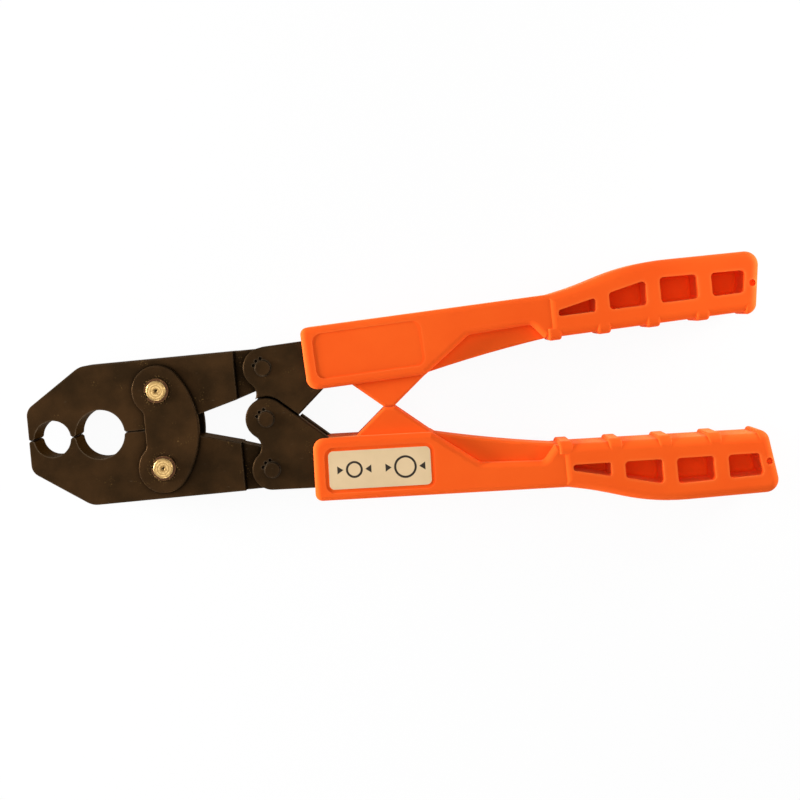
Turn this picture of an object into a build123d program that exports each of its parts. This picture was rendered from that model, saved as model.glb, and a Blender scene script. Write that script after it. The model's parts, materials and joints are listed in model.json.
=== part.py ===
"""Crimp tool with compound leverage: two jaws, two link plates and two long moulded handles.

The tool lies flat and closed. X runs along it towards the handles, Z is up, and it mirrors across Y = 0.
Outlines are drawn from the centre pin, for the upper side. The origin is the middle of the tool's box, on
the floor.
"""
import os
from math import asin, atan2, cos, degrees, radians, sin, sqrt, tan

from build123d import *

# Overall lengths, from the centre pin
nose_reach = 117.6
handle_reach = 247.6

# Running fits and seats
running_gap = 0.05
seat_gap = 0.02
side_gap = 0.05
mould_gap = 0.05
parting_gap = 0.2
stop_gap = 0.3

# Thicknesses, all centred on the same middle plane
core_thick = 8.0
cheek_thick = 6.0
sleeve_wall = 2.5
grip_step = 0.8
jaw_thick = 15.9
link_plate_thick = 3.0

# Linkage, as distances from the centre pin
link_bolt_back = 52.1
link_bolt_out = 19.0
jaw_pin_fwd = 0.7
jaw_pin_out = 25.1
jaw_opening = 12.5

# Pins, bolts and rings
link_bolt_r = 4.8
jaw_pin_r = 3.8
centre_pin_r = 3.8
rivet_r = 3.0
pin_proud = 1.8
pin_edge_r = 0.5
bolt_chamfer = 0.6
bolt_dimple_r = 1.3
ring_wide = 1.2
ring_thick = 1.0
ring_mouth = 3.0
front_ring_turn = 200.0
rear_ring_turn = 150.0

# Jaws
jaw_half_width = 34.4
nose_half = 15.4
nose_corner_r = 6.3
shoulder_back = 89.4
shoulder_r = 10.0
small_die_back = 105.9
small_die_r = 9.0
large_die_back = 82.4
large_die_r = 12.1
die_notch = 1.3
mouth_angle = 15.5
mouth_back = 51.9
tongue_step_back = 13.5
jaw_edge = 0.35

# Link plates
lobe_r = 12.4
link_crown_reach = 18.9
link_waist_reach = 7.5
link_waist_r = 4.0
link_edge_r = 0.8

# Cheek plates of the handle arms
knuckle_r = 10.0
eye_r = 10.3
neck_r = 6.0
lap_gap = 0.7
arm_outer_angle = 2.6
arm_inner_angle = 41.3
tail_width = 19.0
tail_reach = 62.0
spacer_r = 9.0
cheek_edge_r = 1.0

# Punch marks that stake the pins in the cheek plates
stake_r = 0.8
stake_land = 0.1
stake_turns = (100.0, 130.0, 160.0)

# Tangs and their rivets
tang_start = 15.0
tang_reach = 132.0
tang_width = 14.0
tang_out = 27.0
tang_angle = 3.6
tang_notch = 3.0
tang_notch_long = 12.0
tang_notch_at = 85.0
rivet_first = 16.0
rivet_pitch = 20.0
rivet_count = 2

# Sleeves: block, neck and stop web
sleeve_start = 20.4
sleeve_lean = 1.3
block_outer = 42.6
outer_angle = 2.25
block_inner = 11.8
block_inner_end = 14.2
outer_corner_r = 3.4
inner_corner_r = 5.5
block_edge_r = 3.0
neck_bow = 1.0
stop_first = 38.6
stop_last = 80.0
stop_tip = 60.6
stop_tip_flat = 5.0
web_thick = 16.0
web_edge_r = 1.2
recess_depth = 6.0
recess_knee = 102.8
recess_knee_out = 31.5
recess_end = 133.8
recess_end_out = 33.6
recess_lean = 6.0
recess_corner_r = 4.0
neck_step = 0.5
neck_edge_r = 1.2

# Grips
grip_start = 142.0
grip_collar = 0.5
grip_sink = 0.3
grip_inner_start = 26.2
grip_inner_angle = 2.2
swell_start = 156.0
swell_start_rise = 2.0
swell_start_r = 150.0
swell_end = 186.0
swell_high = 9.2
swell_end_r = 110.0
grip_outer_angle = 0.3
grip_end_slant = 8.0
grip_outer_corner_r = 6.5
grip_inner_corner_r = 5.5
grip_edge_r = 4.5
rib_first = 145.0
rib_end_gap = 5.4
rib_count = 5
rib_wide = 6.6
rib_high = 1.5
rib_edge_r = 1.3

# Cored pockets of the grips
pocket_first = 147.4
pocket_tip_wide = 3.0
last_pocket_long = 17.1
pocket_count = 4
pocket_web = 6.6
pocket_end_wall = 7.1
pocket_inner = 36.35
pocket_inner_angle = 1.8
pocket_knee = 194.0
pocket_knee_out = 50.7
pocket_end_out = 50.3
pocket_corner_r = 2.0
pocket_depth = 18.0
pocket_floor_r = 1.8
first_pocket_corner_r = 1.3
first_pocket_floor_r = 1.2
gate_r = 1.7
gate_depth = 2.5
gate_from_end = 3.3
gate_out = 43.7

# Label and the panel it sits in
label_long = 50.0
label_wide = 18.7
label_thick = 0.3
label_corner_r = 2.5
label_at = 53.3
label_out = 29.0
panel_margin = 1.8
panel_depth = 0.5

# Values worked out from the sizes above
arm_thick = core_thick + 2 * cheek_thick
sleeve_thick = arm_thick + 2 * sleeve_wall
grip_thick = sleeve_thick + 2 * grip_step
middle = grip_thick / 2
pivot_x = (nose_reach - handle_reach) / 2
link_gap = jaw_thick + 2 * side_gap
link_face = middle + link_gap / 2
link_top = link_face + link_plate_thick
tongue_thick = core_thick - 2 * side_gap
link_bolt = Vector(-link_bolt_back, link_bolt_out)
jaw_pin = Vector(jaw_pin_fwd, jaw_pin_out)
jaw_arm = jaw_pin - link_bolt
jaw_slope = degrees(atan2(jaw_arm.Y, jaw_arm.X))
open_pin_out = link_bolt_out + jaw_arm.length * sin(radians(jaw_slope - jaw_opening))
handle_opening = 180 - degrees(asin(open_pin_out / jaw_pin.length)) - degrees(atan2(jaw_pin.Y, jaw_pin.X))
rib_pitch = (handle_reach - rib_end_gap - rib_first) / (rib_count - 1)
notch_backs = [
    nose_reach,
    small_die_back + small_die_r,
    small_die_back - small_die_r,
    large_die_back + large_die_r,
    large_die_back - large_die_r,
]


def level(height):
    """Drawing plane at a height, with the centre pin at its origin."""
    return Plane(origin=(pivot_x, 0, height), x_dir=(1, 0, 0), z_dir=(0, 0, 1))


def heading(angle):
    """Unit vector at an angle from the X axis."""
    return Vector(cos(radians(angle)), sin(radians(angle)))


def arc_about(centre, start, end, clockwise=False):
    """Arc about a centre, from one point to another."""
    first = degrees(atan2(start.Y - centre.Y, start.X - centre.X))
    last = degrees(atan2(end.Y - centre.Y, end.X - centre.X))
    size = (last - first) % 360
    if clockwise:
        size -= 360
    return CenterArc(centre, (start - centre).length, first, size)


def bolt_drift(share):
    """Place of the lower link bolt in the lower jaw, against its rest, at a share of the full opening."""
    pin = jaw_pin.rotate(Axis.Z, handle_opening * share)
    upper_bolt = pin + (link_bolt - jaw_pin).rotate(Axis.Z, -jaw_opening * share)
    return Vector(0, 2 * (upper_bolt.Y - link_bolt_out)).rotate(Axis.Z, -jaw_opening * share)


travel_steps = 20
drifts = [bolt_drift(step / travel_steps) for step in range(travel_steps + 1)]
slot_long = max(drift.Y for drift in drifts)
slot_r = link_bolt_r + max(drift.X for drift in drifts) + running_gap


def ridge_x(y):
    """Place of the stop web's rear flank, at a distance from the axis."""
    tip_end = stop_tip + stop_tip_flat / 2
    return tip_end + (y - stop_gap / 2) * (stop_last - tip_end) / (block_inner_end - stop_gap / 2)


def mouth_edge(x):
    """Distance of the jaw's inner edge from the axis, behind the parting face."""
    return parting_gap / 2 + (x + mouth_back) * tan(radians(mouth_angle))


def sleeve_outer(x):
    """Distance of the outer edge of the block and neck from the axis."""
    return block_outer + (x - sleeve_start) * tan(radians(outer_angle))


def grip_inner(x):
    """Distance of the grip's inner edge from the axis, between the ribs."""
    return grip_inner_start + (x - grip_start) * tan(radians(grip_inner_angle))


swell_start_out = sleeve_outer(swell_start) + swell_start_rise
swell_end_out = swell_start_out + swell_high


def grip_outer(x):
    """Distance of the grip's outer edge from the axis, behind the swell."""
    return swell_end_out + (x - swell_end) * tan(radians(grip_outer_angle))


# The grip's end slants, and its rounded outer corner is what reaches furthest
corner_turn = radians(grip_outer_angle + grip_end_slant)
corner_share = (cos(radians(grip_end_slant)) - sin(radians(grip_outer_angle))) / (1 - sin(corner_turn))
grip_far = handle_reach + grip_outer_corner_r * (corner_share - 1)


def grip_end(y):
    """Place of the grip's slanted end, at a distance from the axis."""
    return grip_far - (grip_outer(grip_far) - y) * tan(radians(grip_end_slant))


def grip_end_corner(lift):
    """Corner of the slanted end and a line that lies inside the grip's inner edge by the lift."""
    slope = tan(radians(grip_end_slant))
    x = (grip_end(0) + slope * (grip_inner(0) - lift)) / (1 - slope * tan(radians(grip_inner_angle)))
    return Vector(x, grip_inner(x) - lift)


def pocket_low(x):
    """Distance of the pockets' inner edge from the axis."""
    return pocket_inner + (x - pocket_first) * tan(radians(pocket_inner_angle))


pocket_far = grip_end(pocket_end_out) - pocket_end_wall
pocket_pitch = (pocket_far - last_pocket_long - pocket_first) / (pocket_count - 1)


def rivet_places():
    """Centres of an arm's rivets, along its tang."""
    start = Vector(tang_start, tang_out)
    return [start + heading(tang_angle) * (rivet_first + turn * rivet_pitch) for turn in range(rivet_count)]


def link_outline():
    """Kidney outline of a link plate: two lobes, a crown at the handles' side and a waist at the nose's."""
    crown = Vector(link_crown_reach - link_bolt_back, 0)
    crown_r = (link_crown_reach**2 + link_bolt_out**2 - lobe_r**2) / (2 * (link_crown_reach - lobe_r))
    crown_centre = crown - Vector(crown_r, 0)
    crown_end = link_bolt + (link_bolt - crown_centre).normalized() * lobe_r
    waist_far = link_waist_reach + link_waist_r
    waist_drop = sqrt((lobe_r + link_waist_r) ** 2 - waist_far**2)
    waist_centre = link_bolt - Vector(waist_far, waist_drop)
    waist_end = link_bolt + (waist_centre - link_bolt).normalized() * lobe_r
    waist_start = waist_centre + Vector(link_waist_r, 0)
    with BuildSketch() as outline:
        with BuildLine():
            arc_about(crown_centre, crown, crown_end)
            arc_about(link_bolt, crown_end, waist_end)
            arc_about(waist_centre, waist_end, waist_start, clockwise=True)
            Line(waist_start, Vector(waist_start.X, 0))
            mirror(about=Plane.XZ)
        make_face()
    return outline.sketch


def arm_outline():
    """Outline of a cheek plate: knuckle at the jaw pin, eye at the centre pin and tail into the sleeve."""
    span = jaw_pin.length
    along = ((eye_r + neck_r) ** 2 - (knuckle_r + neck_r) ** 2 + span**2) / (2 * span)
    aside = sqrt((eye_r + neck_r) ** 2 - along**2)
    to_pin = jaw_pin.normalized()
    neck_centre = to_pin * along + to_pin.rotate(Axis.Z, 90) * aside
    eye_end = neck_centre.normalized() * eye_r
    knuckle_end = jaw_pin + (neck_centre - jaw_pin).normalized() * knuckle_r
    outer = heading(arm_outer_angle)
    outer_start = jaw_pin + heading(arm_outer_angle + 90) * knuckle_r
    outer_end = outer_start + outer * ((tail_reach - outer_start.X) / outer.X)
    tail_end = outer_end - Vector(0, tail_width)
    inner = heading(arm_inner_angle)
    eye_start = heading(arm_inner_angle - 90) * eye_r
    to_knee = (tail_end - eye_start).cross(outer).Z / inner.cross(outer).Z
    knee = eye_start + inner * to_knee
    with BuildSketch() as outline:
        with BuildLine():
            arc_about(jaw_pin, outer_start, knuckle_end)
            arc_about(neck_centre, knuckle_end, eye_end, clockwise=True)
            arc_about(Vector(0, 0), eye_end, eye_start)
            Polyline(eye_start, knee, tail_end, outer_end, outer_start)
        make_face()
    return outline.sketch


def lapped_outline():
    """Outline of the other arm, grown by the gap that the lap leaves."""
    with BuildSketch() as outline:
        add(arm_outline())
        offset(amount=lap_gap)
        mirror(about=Plane.XZ, mode=Mode.REPLACE)
    return outline.sketch


def tang_outline():
    """Notched bar of a tang, in its place beside the axis."""
    tang_long = (tang_reach - tang_start) / cos(radians(tang_angle))
    with BuildSketch() as bar:
        Rectangle(tang_long, tang_width, align=(Align.MIN, Align.CENTER))
        with Locations((tang_notch_at, tang_width / 2), (tang_notch_at, -tang_width / 2)):
            Rectangle(tang_notch_long, 2 * tang_notch, mode=Mode.SUBTRACT)
    with BuildSketch() as outline:
        with Locations(Location((tang_start, tang_out, 0), (0, 0, tang_angle))):
            add(bar.sketch)
    return outline.sketch


def stake_places(pin, radius, side):
    """Centres of the punch marks beside a pin's hole, above it for side 1 and below it for side -1."""
    reach = radius + running_gap + stake_land + stake_r
    return [pin + heading(side * turn) * reach for turn in stake_turns]


def cheek(low, eye_gap, stake_side):
    """Cheek plate of the upper arm. With no eye_gap it is cut back round the other arm's eye."""
    front = low > middle
    outer_level = low + cheek_thick if front else low
    marks = stake_places(jaw_pin, jaw_pin_r, stake_side)
    if eye_gap is not None:
        marks += stake_places(Vector(0, 0), centre_pin_r, stake_side)
    with BuildPart() as plate:
        with BuildSketch(level(low)):
            add(arm_outline())
            if eye_gap is None:
                add(lapped_outline(), mode=Mode.SUBTRACT)
            else:
                Circle(centre_pin_r + eye_gap, mode=Mode.SUBTRACT)
            with Locations(jaw_pin):
                Circle(jaw_pin_r + seat_gap, mode=Mode.SUBTRACT)
            with Locations(*rivet_places()):
                Circle(rivet_r + seat_gap, mode=Mode.SUBTRACT)
        extrude(amount=cheek_thick)
        fillet(plate.faces().sort_by(Axis.Z)[-1 if front else 0].outer_wire().edges(), cheek_edge_r)
        with Locations(*[(pivot_x + mark.X, mark.Y, outer_level) for mark in marks]):
            Sphere(stake_r, mode=Mode.SUBTRACT)
    return plate.part


def round_pin(places, radius, low, high, edge):
    """Straight pins with rounded ends, one at each place."""
    with BuildPart() as pins:
        with BuildSketch(level(low)):
            with Locations(*places):
                Circle(radius)
        extrude(amount=high - low)
        fillet(pins.edges().filter_by(GeomType.CIRCLE), edge)
    return pins.part


def retaining_ring(place, low, mouth_turn):
    """Open ring round a link bolt."""
    with BuildPart() as ring:
        with BuildSketch(level(low)):
            with Locations(Location((place.X, place.Y, 0), (0, 0, mouth_turn))):
                Circle(link_bolt_r + ring_wide)
                Circle(link_bolt_r + seat_gap, mode=Mode.SUBTRACT)
                Rectangle(2 * link_bolt_r, ring_mouth, align=(Align.MIN, Align.CENTER), mode=Mode.SUBTRACT)
        extrude(amount=ring_thick)
    return ring.part


def pivot_bolt(place):
    """Link bolt with chamfered ends and a centre dimple in each end."""
    with BuildPart() as bolt:
        with BuildSketch(level(0)):
            with Locations(place):
                Circle(link_bolt_r)
        extrude(amount=grip_thick)
        chamfer(bolt.edges().filter_by(GeomType.CIRCLE), bolt_chamfer)
        with Locations((pivot_x + place.X, place.Y, grip_thick - bolt_dimple_r / 2)):
            Cone(0, bolt_dimple_r, bolt_dimple_r, mode=Mode.SUBTRACT)
        with Locations((pivot_x + place.X, place.Y, bolt_dimple_r / 2)):
            Cone(bolt_dimple_r, 0, bolt_dimple_r, mode=Mode.SUBTRACT)
    return bolt.part


def panel_outline(margin):
    """Round-cornered rectangle at the label's place, with a margin round the label."""
    with BuildSketch() as outline:
        with Locations(Location((label_at, label_out, 0), (0, 0, outer_angle))):
            RectangleRounded(label_long + 2 * margin, label_wide + 2 * margin, label_corner_r + margin)
    return outline.sketch


def pocket_outlines():
    """Row of cored pockets: one field that follows the grip's swell, cut by the webs."""
    with BuildSketch() as pockets:
        with BuildLine():
            Polyline(
                (pocket_first, pocket_inner),
                (pocket_first, pocket_inner + pocket_tip_wide),
                (pocket_knee, pocket_knee_out),
                (pocket_far, pocket_end_out),
                (grip_end(pocket_low(pocket_far)) - pocket_end_wall, pocket_low(pocket_far)),
                close=True,
            )
        make_face()
        for turn in range(1, pocket_count):
            with Locations((pocket_first + turn * pocket_pitch, pocket_inner)):
                Rectangle(pocket_web, 2 * swell_end_out, align=(Align.MAX, Align.CENTER), mode=Mode.SUBTRACT)
        corners = pockets.vertices().sort_by(Axis.X)
        fillet(corners[:4], first_pocket_corner_r)
        fillet(corners[4:], pocket_corner_r)
    return pockets.sketch


# Jaws

with BuildPart() as jaw_blank:
    with BuildSketch(level(middle - jaw_thick / 2)) as jaw_face:
        with BuildLine():
            Polyline(
                (-nose_reach, parting_gap / 2),
                (-nose_reach, nose_half),
                (-shoulder_back, jaw_half_width),
                (-tongue_step_back, jaw_half_width),
                (-tongue_step_back, mouth_edge(-tongue_step_back)),
                (-mouth_back, parting_gap / 2),
                close=True,
            )
        make_face()
        fillet(jaw_face.vertices().sort_by_distance((-nose_reach, nose_half))[0], nose_corner_r)
        fillet(jaw_face.vertices().sort_by_distance((-shoulder_back, jaw_half_width))[0], shoulder_r)
    extrude(amount=jaw_thick)
    chamfer(jaw_blank.faces().filter_by(Axis.Z).edges(), jaw_edge)
    with BuildSketch(level(middle - tongue_thick / 2)):
        with BuildLine():
            Line((-tongue_step_back, jaw_half_width), (-tongue_step_back, mouth_edge(-tongue_step_back)))
            CenterArc(jaw_pin, jaw_half_width - jaw_pin_out, 0, 360)
        make_hull()
    extrude(amount=tongue_thick)
    with BuildSketch(level(middle - jaw_thick / 2)):
        with Locations((-small_die_back, 0)):
            Circle(small_die_r)
        with Locations((-large_die_back, 0)):
            Circle(large_die_r)
        with Locations(*[(-back, 0) for back in notch_backs]):
            Rectangle(die_notch, die_notch, rotation=45)
    extrude(amount=jaw_thick, mode=Mode.SUBTRACT)
    with BuildSketch(level(middle - tongue_thick / 2)):
        with Locations(jaw_pin):
            Circle(jaw_pin_r + running_gap)
    extrude(amount=tongue_thick, mode=Mode.SUBTRACT)

with BuildPart() as upper_jaw:
    add(jaw_blank.part)
    with BuildSketch(level(middle - jaw_thick / 2)):
        with Locations(link_bolt):
            Circle(link_bolt_r + running_gap)
    extrude(amount=jaw_thick, mode=Mode.SUBTRACT)

# The lower jaw's bolt hole is a slot towards the axis, which gives the open pivot its room
with BuildPart() as lower_jaw:
    mirror(jaw_blank.part, about=Plane.XZ)
    with BuildSketch(level(middle - jaw_thick / 2)):
        with Locations((-link_bolt_back, -link_bolt_out + slot_long / 2)):
            SlotCenterToCenter(slot_long, 2 * slot_r, rotation=90)
    extrude(amount=jaw_thick, mode=Mode.SUBTRACT)

# Link plates, their bolts and rings

with BuildPart() as front_link_plate:
    with BuildSketch(level(link_face)):
        add(link_outline())
        with Locations(link_bolt, (-link_bolt_back, -link_bolt_out)):
            Circle(link_bolt_r + seat_gap, mode=Mode.SUBTRACT)
    extrude(amount=link_plate_thick)
    fillet(front_link_plate.faces().sort_by(Axis.Z)[-1].outer_wire().edges(), link_edge_r)

rear_link_plate = mirror(front_link_plate.part, about=Plane.XY.offset(middle))

lower_place = Vector(-link_bolt_back, -link_bolt_out)
upper_link_bolt = pivot_bolt(link_bolt)
lower_link_bolt = pivot_bolt(lower_place)
rear_ring_low = grip_thick - link_top - ring_thick
upper_bolt_front_ring = retaining_ring(link_bolt, link_top, front_ring_turn)
upper_bolt_rear_ring = retaining_ring(link_bolt, rear_ring_low, rear_ring_turn)
lower_bolt_front_ring = retaining_ring(lower_place, link_top, -front_ring_turn)
lower_bolt_rear_ring = retaining_ring(lower_place, rear_ring_low, -rear_ring_turn)

# Cheek plates, tangs, rivets and pins of the handle arms

front_low = middle + core_thick / 2
rear_low = middle - arm_thick / 2
upper_front_plate = cheek(front_low, None, 1)
upper_rear_plate = cheek(rear_low, running_gap, 1)
lower_front_plate = mirror(cheek(front_low, seat_gap, -1), about=Plane.XZ)
lower_rear_plate = mirror(cheek(rear_low, None, -1), about=Plane.XZ)

with BuildPart() as upper_tang:
    with BuildSketch(level(middle - core_thick / 2)):
        add(tang_outline())
        with Locations(*rivet_places()):
            Circle(rivet_r + seat_gap, mode=Mode.SUBTRACT)
    extrude(amount=core_thick)

upper_arm_rivets = round_pin(rivet_places(), rivet_r, rear_low, rear_low + arm_thick, pin_edge_r)
pin_low = rear_low - pin_proud
pin_high = rear_low + arm_thick + pin_proud
upper_jaw_pin = round_pin([jaw_pin], jaw_pin_r, pin_low, pin_high, pin_edge_r)
centre_pin = round_pin([Vector(0, 0)], centre_pin_r, pin_low, pin_high, pin_edge_r)

with BuildPart() as centre_spacer:
    with BuildSketch(level(middle - core_thick / 2 + side_gap)):
        Circle(spacer_r)
        Circle(centre_pin_r + seat_gap, mode=Mode.SUBTRACT)
    extrude(amount=core_thick - side_gap)

# Sleeves: block and neck, grip, ribs and stop web, less the recesses, pockets and the room for the arm

face_top = middle + sleeve_thick / 2
neck_end = grip_start + 2 * grip_edge_r
rib_places = [rib_first + turn * rib_pitch for turn in range(rib_count)]

with BuildPart() as block:
    with BuildSketch(level(middle - sleeve_thick / 2)) as block_face:
        knee = (recess_knee, recess_knee_out)
        with BuildLine():
            Polyline(
                (neck_end, grip_inner(neck_end) + grip_collar),
                (neck_end, sleeve_outer(neck_end)),
                (sleeve_start, block_outer),
                (sleeve_start + sleeve_lean, block_inner),
                (stop_last, block_inner_end),
                knee,
                (recess_end, recess_end_out),
                (recess_end + recess_lean, grip_inner(recess_end) + grip_collar),
                close=True,
            )
        make_face()
        fillet(block_face.vertices().sort_by_distance((sleeve_start, block_outer))[0], outer_corner_r)
        fillet(block_face.vertices().sort_by_distance((sleeve_start, block_inner))[0], inner_corner_r)
        fillet(block_face.vertices().sort_by_distance(knee)[0], recess_corner_r)
        fillet(block_face.vertices().sort_by_distance((recess_end, recess_end_out))[0], recess_corner_r)
    extrude(amount=sleeve_thick)
    fillet(block.faces().filter_by(Axis.Z).edges(), block_edge_r)

# The neck is thinner than the block, so its faces are the floors of the recesses
with BuildPart() as neck:
    with BuildSketch(level(middle - sleeve_thick / 2 + recess_depth)):
        neck_first = (stop_last, block_inner_end + neck_step)
        neck_last = (neck_end, grip_inner(neck_end) + grip_collar + neck_step)
        with BuildLine():
            SagittaArc(neck_first, neck_last, neck_bow)
            Polyline(
                neck_last,
                (neck_end, recess_end_out + recess_depth),
                (recess_knee, recess_knee_out + recess_depth),
                (stop_last - recess_depth, block_inner_end + recess_depth),
                neck_first,
            )
        make_face()
    extrude(amount=sleeve_thick - 2 * recess_depth)
    fillet(neck.edges().filter_by(GeomType.CIRCLE), neck_edge_r)

with BuildPart() as grip:
    with BuildSketch(level(0)) as grip_face:
        outer_corner = (grip_far, grip_outer(grip_far))
        with BuildLine():
            Polyline(
                (grip_start, grip_inner(grip_start)),
                grip_end_corner(0),
                outer_corner,
                (swell_end, swell_end_out),
                (swell_start, swell_start_out),
                (grip_start, sleeve_outer(grip_start) - grip_sink),
                close=True,
            )
        make_face()
        fillet(grip_face.vertices().sort_by_distance((swell_end, swell_end_out))[0], swell_end_r)
        fillet(grip_face.vertices().sort_by_distance((swell_start, swell_start_out))[0], swell_start_r)
        fillet(grip_face.vertices().sort_by_distance(outer_corner)[0], grip_outer_corner_r)
        fillet(grip_face.vertices().sort_by_distance(grip_end_corner(0))[0], grip_inner_corner_r)
    extrude(amount=grip_thick)
    fillet(grip.faces().filter_by(Axis.Z).edges(), grip_edge_r)

# One rib lies along X with its crest on the X axis, and wraps the grip's rounded inner edge
with BuildPart() as rib:
    with BuildSketch():
        Rectangle(rib_wide, rib_high + grip_edge_r, align=(Align.CENTER, Align.MIN))
    extrude(amount=grip_thick)
    fillet(rib.edges().filter_by(Axis.X).sort_by(Axis.Y)[:2], grip_edge_r)
    sides = rib.faces().filter_by(Axis.X)
    fillet(sides.edges() - sides.sort_by(Axis.Y)[0].edges().sort_by(Axis.Y)[-1:], rib_edge_r)

# The last rib runs on round the grip's inner corner
with BuildPart() as end_rib:
    with BuildSketch(level(0)) as end_rib_face:
        end_rib_start = rib_places[-1] - rib_wide / 2
        end_rib_top = grip_inner(end_rib_start) + grip_inner_corner_r + grip_edge_r
        with BuildLine():
            Polyline(
                (end_rib_start, grip_inner(end_rib_start) - rib_high),
                grip_end_corner(rib_high),
                (grip_end(end_rib_top), end_rib_top),
                (end_rib_start, end_rib_top),
                close=True,
            )
        make_face()
        fillet(end_rib_face.vertices().sort_by_distance(grip_end_corner(rib_high))[0], grip_inner_corner_r)
    extrude(amount=grip_thick)
    rims = end_rib.faces().filter_by(Axis.Z).edges()
    fillet(rims - rims.filter_by(Axis.Y) - rims.filter_by(Axis.X), grip_edge_r)
    start_face = end_rib.faces().sort_by(Axis.X)[0]
    fillet(start_face.edges() - start_face.edges().sort_by(Axis.Y)[-1:], rib_edge_r)

with BuildPart() as pockets:
    with BuildSketch(level(grip_thick - pocket_depth)):
        add(pocket_outlines())
    extrude(amount=pocket_depth)
    floors = pockets.faces().filter_by(Axis.Z).group_by(Axis.Z)[0].sort_by(Axis.X)
    fillet(floors[0].edges(), first_pocket_floor_r)
    fillet([edge for floor in floors[1:] for edge in floor.edges()], pocket_floor_r)

with BuildPart() as stop_web:
    with BuildSketch(level(middle - web_thick / 2)):
        web_root = block_inner_end + 2 * web_edge_r
        with BuildLine():
            Polyline(
                (stop_first, web_root),
                (stop_tip - stop_tip_flat / 2, stop_gap / 2),
                (stop_tip + stop_tip_flat / 2, stop_gap / 2),
                (ridge_x(web_root), web_root),
                close=True,
            )
        make_face()
    extrude(amount=web_thick)
    fillet(stop_web.faces().filter_by(Axis.Z).edges(), web_edge_r)

with BuildPart() as upper_sleeve:
    add(block.part)
    add(neck.part)
    add(grip.part)
    add(stop_web.part)
    add(end_rib.part)
    for place in rib_places[:-1]:
        crest = (pivot_x + place, grip_inner(place) - rib_high, 0)
        add(rib.part.moved(Location(crest, (0, 0, grip_inner_angle))))
    with BuildSketch(level(face_top)):
        add(panel_outline(panel_margin))
    extrude(amount=-panel_depth, mode=Mode.SUBTRACT)
    add(pockets.part, mode=Mode.SUBTRACT)
    with BuildSketch(level(grip_thick)):
        with Locations((grip_end(gate_out) - gate_from_end, gate_out)):
            Circle(gate_r)
    extrude(amount=-gate_depth, mode=Mode.SUBTRACT)
    for low in (front_low, rear_low):
        with BuildSketch(level(low - mould_gap)):
            add(arm_outline())
            offset(amount=mould_gap)
        extrude(amount=cheek_thick + 2 * mould_gap, mode=Mode.SUBTRACT)
    with BuildSketch(level(middle - core_thick / 2)):
        add(tang_outline())
        offset(amount=mould_gap)
    extrude(amount=core_thick, mode=Mode.SUBTRACT)

with BuildPart() as label:
    with BuildSketch(level(face_top - panel_depth)):
        add(panel_outline(0))
        mirror(about=Plane.XZ, mode=Mode.REPLACE)
    extrude(amount=label_thick)

pieces = {
    "upper_jaw": upper_jaw.part,
    "lower_jaw": lower_jaw.part,
    "front_link_plate": front_link_plate.part,
    "rear_link_plate": rear_link_plate,
    "upper_link_bolt": upper_link_bolt,
    "lower_link_bolt": lower_link_bolt,
    "upper_bolt_front_ring": upper_bolt_front_ring,
    "upper_bolt_rear_ring": upper_bolt_rear_ring,
    "lower_bolt_front_ring": lower_bolt_front_ring,
    "lower_bolt_rear_ring": lower_bolt_rear_ring,
    "upper_front_plate": upper_front_plate,
    "upper_rear_plate": upper_rear_plate,
    "lower_front_plate": lower_front_plate,
    "lower_rear_plate": lower_rear_plate,
    "upper_tang": upper_tang.part,
    "lower_tang": mirror(upper_tang.part, about=Plane.XZ),
    "upper_arm_rivets": upper_arm_rivets,
    "lower_arm_rivets": mirror(upper_arm_rivets, about=Plane.XZ),
    "upper_jaw_pin": upper_jaw_pin,
    "lower_jaw_pin": mirror(upper_jaw_pin, about=Plane.XZ),
    "centre_pin": centre_pin,
    "centre_spacer": centre_spacer.part,
    "upper_sleeve": upper_sleeve.part,
    "lower_sleeve": mirror(upper_sleeve.part, about=Plane.XZ),
    "label": label.part,
}

os.makedirs("parts", exist_ok=True)
for name, piece in pieces.items():
    piece.label = name
    export_step(piece, f"parts/{name}.step")
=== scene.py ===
"""Looks of the crimp tool: black steel head, gold bolts, orange moulded handles, on a white floor.

Everything is in metres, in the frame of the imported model: +X to the handles' ends, +Z up.
"""
import json
from math import radians

import bpy
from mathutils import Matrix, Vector


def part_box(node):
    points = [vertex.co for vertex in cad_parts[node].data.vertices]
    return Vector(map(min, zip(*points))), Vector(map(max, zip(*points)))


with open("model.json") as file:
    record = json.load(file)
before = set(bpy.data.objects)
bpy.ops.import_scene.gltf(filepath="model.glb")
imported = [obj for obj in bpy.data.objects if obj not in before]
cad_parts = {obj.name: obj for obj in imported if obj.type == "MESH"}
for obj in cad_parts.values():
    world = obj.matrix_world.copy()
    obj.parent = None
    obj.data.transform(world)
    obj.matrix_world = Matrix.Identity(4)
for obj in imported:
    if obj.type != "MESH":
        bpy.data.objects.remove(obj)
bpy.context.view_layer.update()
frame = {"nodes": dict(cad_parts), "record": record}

# Camera, straight above the tool and turned so that the tool rises to the right
CAMERA_PLACE = (0.0068, 0.0494, 0.611)
CAMERA_ROLL = -5.505
CAMERA_LENS = 53.9
CAMERA_SHIFT = (-0.00275, -0.1191)
CAMERA_NEAREST = 0.01

# Square lamps that face the tool: name, place, width, power in watts
# The wide one above reaches into the pockets, the low ones light the sides and the handles' ends
LAMPS = (
    ("top_lamp", (-0.12, 0.14, 1.00), 0.90, 4.2),
    ("key_lamp", (-0.80, 0.15, 0.17), 0.25, 13.5),
    ("end_lamp", (0.34, 0.08, 0.06), 0.10, 0.75),
    ("fill_lamp", (-0.15, -0.90, 0.22), 0.25, 3.6),
)
SKY_LEVEL = 0.20
FLOOR_SIZE = 8.0
FLOOR_GLOW = 0.95

# Light bounces many times in the deep pockets of the handles before it comes out again
DIFFUSE_BOUNCES = 12
ALL_BOUNCES = 16

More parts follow.
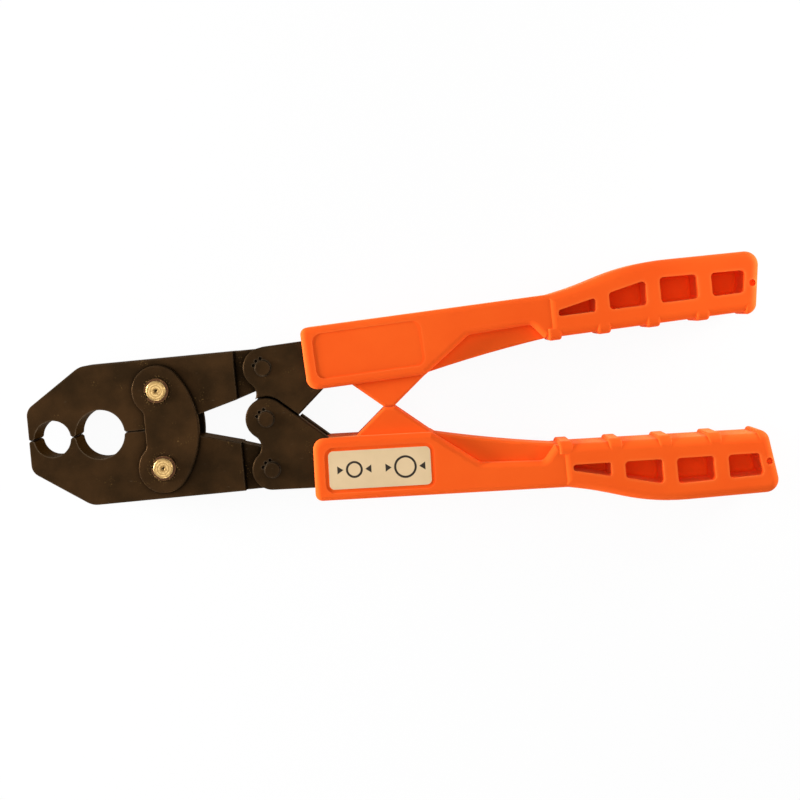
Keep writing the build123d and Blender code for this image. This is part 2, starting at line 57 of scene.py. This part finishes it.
# Colours, as linear light
WHITE = (1, 1, 1, 1)
FLOOR_WHITE = (0.86, 0.86, 0.86, 1)
ORANGE_LIGHT = (0.93, 0.113, 0.0115, 1)
ORANGE_DEEP = (0.89, 0.096, 0.0095, 1)
# Painted shade for the corners of the plastic
ORANGE_PAINTED_SHADE = (0.91, 0.105, 0.009, 1)
# Painted highlight for the rims of the plastic
ORANGE_PAINTED_HIGHLIGHT = (0.96, 0.240, 0.050, 1)
ORANGE_SHEEN = (1.0, 0.50, 0.16, 1)
STEEL_BLACK = (0.0225, 0.0120, 0.0050, 1)
STEEL_BROWN = (0.041, 0.0200, 0.0076, 1)
# Painted shade for the corners of the steel and the foot of the bolts
STEEL_PAINTED_SHADE = (0.005, 0.003, 0.0015, 1)
# Edge wear and scratches of the steel, and a painted highlight on its rims
STEEL_WEAR_AND_HIGHLIGHT = (0.180, 0.135, 0.0900, 1)
STEEL_SHEEN = (0.62, 0.47, 0.34, 1)
GOLD_LIGHT = (0.49, 0.33, 0.135, 1)
GOLD_DARK = (0.24, 0.140, 0.046, 1)
RING_BROWN = (0.055, 0.024, 0.012, 1)
LABEL_CREAM = (0.75, 0.55, 0.32, 1)
LABEL_FADED = (0.70, 0.51, 0.29, 1)
LABEL_INK = (0.030, 0.022, 0.015, 1)

# Share of open space round a place that lies free, and round one that is shut in
SPACE_FREE = 0.95
SPACE_SHUT = 0.45

# Likeness of the true normal and the one rounded over edges, off an edge and on it
LIKENESS_FLAT = 0.995
LIKENESS_EDGE = 0.75

# Scratches on the steel are drawn out along X
SCRATCH_STRETCH = (0.12, 1.0, 1.0)

# Axis of the upper link bolt; the lower one mirrors it across Y = 0
bolt_low, bolt_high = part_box("upper_link_bolt")
BOLT_AXIS = (bolt_low + bolt_high) / 2

# Tool rings on the bolts, as radians of a wave per metre, and how strongly they and the dull spots show
TOOL_RING_WAVE = 5200.0
TOOL_RING_SHARE = 0.9
GOLD_SPOT_SHARE = 0.9

# Middle of the label and its lean, which is that of the handle's outer side
label_low, label_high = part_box("label")
LABEL_MIDDLE = (label_low + label_high) / 2
LABEL_LEAN = -2.25

# Pictogram on the label: two rings, each between two arrow heads
SIGN_OUT = 0.0125
SIGN_RING_R = (0.0036, 0.0050)
SIGN_LINE = 0.0010
ARROW_GAP = 0.0012
ARROW_LONG = 0.0030
ARROW_WIDE = 0.0040
PRINT_BLUR = 0.0001


def new_material(name):
    """Material with its node tree and its Principled shader."""
    material = bpy.data.materials.new(name)
    material.use_nodes = True
    tree = material.node_tree
    return material, tree, tree.nodes["Principled BSDF"]


def give(tree, node, inputs):
    """Set a node's inputs to values, or link other sockets to them."""
    for key, value in inputs.items():
        if isinstance(value, bpy.types.NodeSocket):
            tree.links.new(value, node.inputs[key])
        else:
            node.inputs[key].default_value = value


def add_node(tree, kind, inputs, **settings):
    """Node of a kind, with its settings and with values or sockets on its inputs."""
    made = tree.nodes.new(kind)
    for key, value in settings.items():
        setattr(made, key, value)
    give(tree, made, inputs)
    return made


def object_place(tree):
    """Socket with the place on the tool, in metres."""
    return add_node(tree, "ShaderNodeTexCoord", {}).outputs["Object"]


def noise(tree, place, size, detail=4.0):
    """Noise whose features are about so large, in metres."""
    inputs = {"Vector": place, "Scale": 1 / size, "Detail": detail, "Roughness": 0.55}
    return add_node(tree, "ShaderNodeTexNoise", inputs).outputs["Fac"]


def span(tree, value, start, end, first=0.0, last=1.0):
    """Value that goes from first to last while another goes from start to end, held at both ends."""
    inputs = {"Value": value, "From Min": start, "From Max": end, "To Min": first, "To Max": last}
    return add_node(tree, "ShaderNodeMapRange", inputs).outputs["Result"]


def calc(tree, operation, first, second=0.0):
    """Sum, product or the like of two values or sockets."""
    return add_node(tree, "ShaderNodeMath", {0: first, 1: second}, operation=operation).outputs["Value"]


def blend(tree, share, first, second):
    """Colour between two colours."""
    made = add_node(tree, "ShaderNodeMix", {"Factor": share}, data_type="RGBA")
    slots = [slot for slot, socket in enumerate(made.inputs) if socket.type == "RGBA"]
    give(tree, made, dict(zip(slots, (first, second))))
    return next(socket for socket in made.outputs if socket.type == "RGBA")


def bump(tree, height, depth, strength, over=None):
    """Normal of a relief of so many metres, over another relief if one is given."""
    inputs = {"Height": height, "Distance": depth, "Strength": strength}
    if over is not None:
        inputs["Normal"] = over
    return add_node(tree, "ShaderNodeBump", inputs).outputs["Normal"]


def edge_share(tree, radius, most=1.0):
    """How near a place is to a sharp edge, from 0 to the most."""
    rounded = add_node(tree, "ShaderNodeBevel", {"Radius": radius}, samples=6).outputs["Normal"]
    flat = add_node(tree, "ShaderNodeNewGeometry", {}).outputs["Normal"]
    likeness = add_node(tree, "ShaderNodeVectorMath", {0: rounded, 1: flat}, operation="DOT_PRODUCT")
    return span(tree, likeness.outputs["Value"], LIKENESS_FLAT, LIKENESS_EDGE, last=most)


def corner_share(tree, reach, most=1.0):
    """How far a place lies in a corner between surfaces, from 0 to the most; it masks the painted shade in
    corners.
    """
    space = add_node(tree, "ShaderNodeAmbientOcclusion", {"Distance": reach}, samples=8)
    return span(tree, space.outputs["AO"], SPACE_FREE, SPACE_SHUT, last=most)


def rim_share(tree, reach, most=1.0):
    """How far a place lies on a rounded rim, with other sides of the piece close by, from 0 to the most; it
    masks the painted highlight on rims.
    """
    space = add_node(tree, "ShaderNodeAmbientOcclusion", {"Distance": reach}, samples=8, inside=True)
    return span(tree, space.outputs["AO"], SPACE_FREE, SPACE_SHUT, last=most)


def radius_from(tree, along, across):
    """Length of a flat vector."""
    squares = [calc(tree, "MULTIPLY", part, part) for part in (along, across)]
    return calc(tree, "SQRT", calc(tree, "ADD", *squares))


def bolt_radius(tree, place):
    """Distance from the axis of the nearer link bolt."""
    parts = add_node(tree, "ShaderNodeSeparateXYZ", {"Vector": place})
    along = calc(tree, "SUBTRACT", parts.outputs["X"], BOLT_AXIS.x)
    across = calc(tree, "SUBTRACT", calc(tree, "ABSOLUTE", parts.outputs["Y"]), BOLT_AXIS.y)
    return radius_from(tree, along, across)


def orange_plastic():
    """Moulded handle plastic with a fine matt grain, slow changes of tone, a painted highlight on its rims
    and painted shade in its corners.
    """
    material, tree, shader = new_material("orange_plastic")
    place = object_place(tree)
    tone = span(tree, noise(tree, place, size=0.045), start=0.35, end=0.65)
    face = blend(tree, tone, ORANGE_DEEP, ORANGE_LIGHT)
    # Paler rims are a painted highlight
    rim_highlit = blend(tree, rim_share(tree, reach=0.0018, most=0.3), face, ORANGE_PAINTED_HIGHLIGHT)
    grain = noise(tree, place, size=0.0004, detail=2.0)
    dents = bump(tree, noise(tree, place, size=0.008, detail=2.0), depth=0.00025, strength=0.2)
    give(tree, shader, {
        # Darker corners are painted shade
        "Base Color": blend(tree, corner_share(tree, reach=0.010, most=0.6), rim_highlit, ORANGE_PAINTED_SHADE),
        "Roughness": span(tree, grain, start=0.3, end=0.7, first=0.62, last=0.78),
        "Normal": bump(tree, grain, depth=0.00004, strength=0.35, over=dents),
        "Specular IOR Level": 0.05,
        "Sheen Weight": 0.25,
        "Sheen Roughness": 0.4,
        "Sheen Tint": ORANGE_SHEEN,
    })
    return material


def black_steel():
    """Dark oxide on forged steel: brown patches, fine scratches, edge wear with a painted rim highlight
    over it, and painted shade in the corners.
    """
    material, tree, shader = new_material("black_steel")
    place = object_place(tree)
    patches = span(tree, noise(tree, place, size=0.018, detail=5.0), start=0.38, end=0.66)
    face = blend(tree, patches, STEEL_BLACK, STEEL_BROWN)
    # Darker corners are painted shade
    corner_shaded = blend(tree, corner_share(tree, reach=0.006), face, STEEL_PAINTED_SHADE)
    along = add_node(tree, "ShaderNodeMapping", {"Vector": place, "Scale": SCRATCH_STRETCH})
    streaks = noise(tree, along.outputs["Vector"], size=0.0005, detail=3.0)
    scratches = span(tree, streaks, start=0.70, end=0.78, last=0.25)
    # Paler rims are edge wear and a painted highlight together
    wear_and_highlight_strength = span(tree, noise(tree, place, size=0.004), start=0.35, end=0.65, first=0.1, last=0.5)
    edges = calc(tree, "MULTIPLY", rim_share(tree, reach=0.0007), wear_and_highlight_strength)
    worn_and_highlit = blend(tree, calc(tree, "MAXIMUM", scratches, edges), corner_shaded, STEEL_WEAR_AND_HIGHLIGHT)
    specks = span(tree, noise(tree, place, size=0.0006, detail=3.0), start=0.62, end=0.68)
    near_bolt = span(tree, bolt_radius(tree, place), start=0.0085, end=0.0065)
    clusters = span(tree, noise(tree, place, size=0.010, detail=2.0), start=0.60, end=0.72, last=0.7)
    flecks = calc(tree, "MULTIPLY", specks, calc(tree, "MAXIMUM", near_bolt, clusters))
    grain = noise(tree, place, size=0.0007)
    dents = bump(tree, noise(tree, place, size=0.0033, detail=3.0), depth=0.00015, strength=0.3)
    give(tree, shader, {
        "Base Color": blend(tree, flecks, worn_and_highlit, GOLD_DARK),
        "Roughness": span(tree, grain, start=0.3, end=0.7, first=0.30, last=0.42),
        "Normal": bump(tree, grain, depth=0.00004, strength=0.4, over=dents),
        "Metallic": 0.3,
        "Specular IOR Level": 0.0,
        "Specular Tint": STEEL_SHEEN,
    })
    return material


def gold_plating():
    """Yellow plating on a turned bolt end, with its tool rings, dull spots and painted shade round its
    foot.
    """
    material, tree, shader = new_material("gold_plating")
    place = object_place(tree)
    rings = calc(tree, "SINE", calc(tree, "MULTIPLY", bolt_radius(tree, place), TOOL_RING_WAVE))
    lines = span(tree, rings, start=0.0, end=1.0, last=TOOL_RING_SHARE)
    spots = span(tree, noise(tree, place, size=0.0012), start=0.45, end=0.7)
    dull = calc(tree, "MAXIMUM", calc(tree, "MULTIPLY", spots, GOLD_SPOT_SHARE), lines)
    plated = blend(tree, dull, GOLD_LIGHT, GOLD_DARK)
    turned = bump(tree, rings, depth=0.00006, strength=0.6)
    give(tree, shader, {
        # Darker foot of the bolt end is painted shade
        "Base Color": blend(tree, corner_share(tree, reach=0.0015), plated, STEEL_PAINTED_SHADE),
        "Roughness": span(tree, spots, start=0.0, end=1.0, first=0.44, last=0.58),
        "Normal": bump(tree, spots, depth=0.0001, strength=0.3, over=turned),
        "Metallic": 1.0,
    })
    return material


def ring_steel():
    """Dull brown steel of the retaining rings and rivets, with flecks of plating."""
    material, tree, shader = new_material("ring_steel")
    place = object_place(tree)
    flecks = span(tree, noise(tree, place, size=0.0008), start=0.60, end=0.68)
    bright = calc(tree, "MAXIMUM", flecks, edge_share(tree, radius=0.0003, most=0.4))
    give(tree, shader, {
        "Base Color": blend(tree, bright, RING_BROWN, GOLD_DARK),
        "Roughness": span(tree, flecks, start=0.0, end=1.0, first=0.45, last=0.32),
        "Normal": bump(tree, noise(tree, place, size=0.0007), depth=0.00005, strength=0.4),
        "Metallic": 1.0,
        "Specular Tint": STEEL_SHEEN,
    })
    return material


def ring_sign(tree, along, across, ring_r):
    """Share of ink of a ring with an arrow head on each side."""
    off_ring = calc(tree, "ABSOLUTE", calc(tree, "SUBTRACT", radius_from(tree, along, across), ring_r))
    ring = span(tree, off_ring, start=SIGN_LINE / 2 + PRINT_BLUR, end=SIGN_LINE / 2)
    from_tip = calc(tree, "SUBTRACT", calc(tree, "ABSOLUTE", along), ring_r + SIGN_LINE / 2 + ARROW_GAP)
    half_wide = calc(tree, "MULTIPLY", from_tip, ARROW_WIDE / 2 / ARROW_LONG)
    inside = calc(tree, "SUBTRACT", half_wide, calc(tree, "ABSOLUTE", across))
    before_base = span(tree, from_tip, start=ARROW_LONG + PRINT_BLUR, end=ARROW_LONG)
    head = calc(tree, "MULTIPLY", span(tree, inside, start=0.0, end=PRINT_BLUR), before_base)
    return calc(tree, "MAXIMUM", ring, head)


def label_film():
    """Cream film of the label, printed with a plain pictogram of two rings being pressed."""
    material, tree, shader = new_material("label_film")
    place = object_place(tree)
    tone = span(tree, noise(tree, place, size=0.016), start=0.35, end=0.65)
    film = blend(tree, tone, LABEL_FADED, LABEL_CREAM)
    seat = {"Vector": place, "Location": LABEL_MIDDLE, "Rotation": (0.0, 0.0, radians(LABEL_LEAN))}
    on_label = add_node(tree, "ShaderNodeMapping", seat, vector_type="TEXTURE")
    parts = add_node(tree, "ShaderNodeSeparateXYZ", {"Vector": on_label.outputs["Vector"]})
    ink = 0.0
    for side, ring_r in zip((-1, 1), SIGN_RING_R):
        along = calc(tree, "SUBTRACT", parts.outputs["X"], side * SIGN_OUT)
        ink = calc(tree, "MAXIMUM", ink, ring_sign(tree, along, parts.outputs["Y"], ring_r))
    gloss = noise(tree, place, size=0.001)
    give(tree, shader, {
        "Base Color": blend(tree, ink, film, LABEL_INK),
        "Roughness": span(tree, gloss, start=0.3, end=0.7, first=0.34, last=0.44),
        "Normal": bump(tree, noise(tree, place, size=0.0025), depth=0.00004, strength=0.2),
        "Specular IOR Level": 0.1,
    })
    return material


def seen_share(tree):
    """1 for rays that show the background to the camera, in a reflection or through glass."""
    path = add_node(tree, "ShaderNodeLightPath", {})
    shown = calc(tree, "MAXIMUM", path.outputs["Is Camera Ray"], path.outputs["Is Glossy Ray"])
    return calc(tree, "MAXIMUM", shown, path.outputs["Is Transmission Ray"])


def white_floor():
    """Floor that shows white with a soft shadow, and lights the tool as plain white paper would."""
    bpy.ops.mesh.primitive_plane_add(size=FLOOR_SIZE)
    floor = bpy.context.object
    floor.name = "floor"
    material, tree, shader = new_material("white_floor")
    give(tree, shader, {"Base Color": FLOOR_WHITE, "Roughness": 0.9, "Specular IOR Level": 0.0})
    glow = add_node(tree, "ShaderNodeEmission", {"Strength": 1.0})
    share = calc(tree, "MULTIPLY", seen_share(tree), FLOOR_GLOW)
    surfaces = {0: share, 1: shader.outputs["BSDF"], 2: glow.outputs["Emission"]}
    mix = add_node(tree, "ShaderNodeMixShader", surfaces)
    give(tree, tree.nodes["Material Output"], {"Surface": mix.outputs["Shader"]})
    floor.data.materials.append(material)


def white_sky():
    """Even light all round, white where it is seen."""
    world = bpy.data.worlds.new("white_sky")
    world.use_nodes = True
    tree = world.node_tree
    level = span(tree, seen_share(tree), start=0.0, end=1.0, first=SKY_LEVEL, last=1.0)
    give(tree, tree.nodes["Background"], {"Color": WHITE, "Strength": level})
    bpy.context.scene.world = world


def area_lamps():
    """Soft square lamps that face the tool."""
    for name, place, width, power in LAMPS:
        lamp = bpy.data.objects.new(name, bpy.data.lights.new(name, "AREA"))
        lamp.data.size = width
        lamp.data.energy = power
        lamp.location = place
        lamp.rotation_euler = (-Vector(place)).to_track_quat("-Z", "Y").to_euler()
        bpy.context.scene.collection.objects.link(lamp)


def top_camera():
    """Camera of the photograph."""
    camera = bpy.data.objects.new("camera", bpy.data.cameras.new("camera"))
    camera.location = CAMERA_PLACE
    camera.rotation_euler = (0, 0, radians(CAMERA_ROLL))
    camera.data.lens = CAMERA_LENS
    camera.data.shift_x, camera.data.shift_y = CAMERA_SHIFT
    camera.data.clip_start = CAMERA_NEAREST
    bpy.context.scene.collection.objects.link(camera)
    bpy.context.scene.camera = camera


finishes = {
    "black_steel": black_steel(),
    "gold_plating": gold_plating(),
    "bright_steel": ring_steel(),
    "orange_plastic": orange_plastic(),
    "label_film": label_film(),
}
for subpart in frame["record"]["subparts"]:
    mesh = frame["nodes"][subpart["node"]].data
    mesh.materials.clear()
    mesh.materials.append(finishes[subpart["material_slot"]])

white_floor()
white_sky()
area_lamps()
top_camera()
bpy.context.scene.view_settings.view_transform = "Standard"
bpy.context.scene.cycles.diffuse_bounces = DIFFUSE_BOUNCES
bpy.context.scene.cycles.max_bounces = ALL_BOUNCES
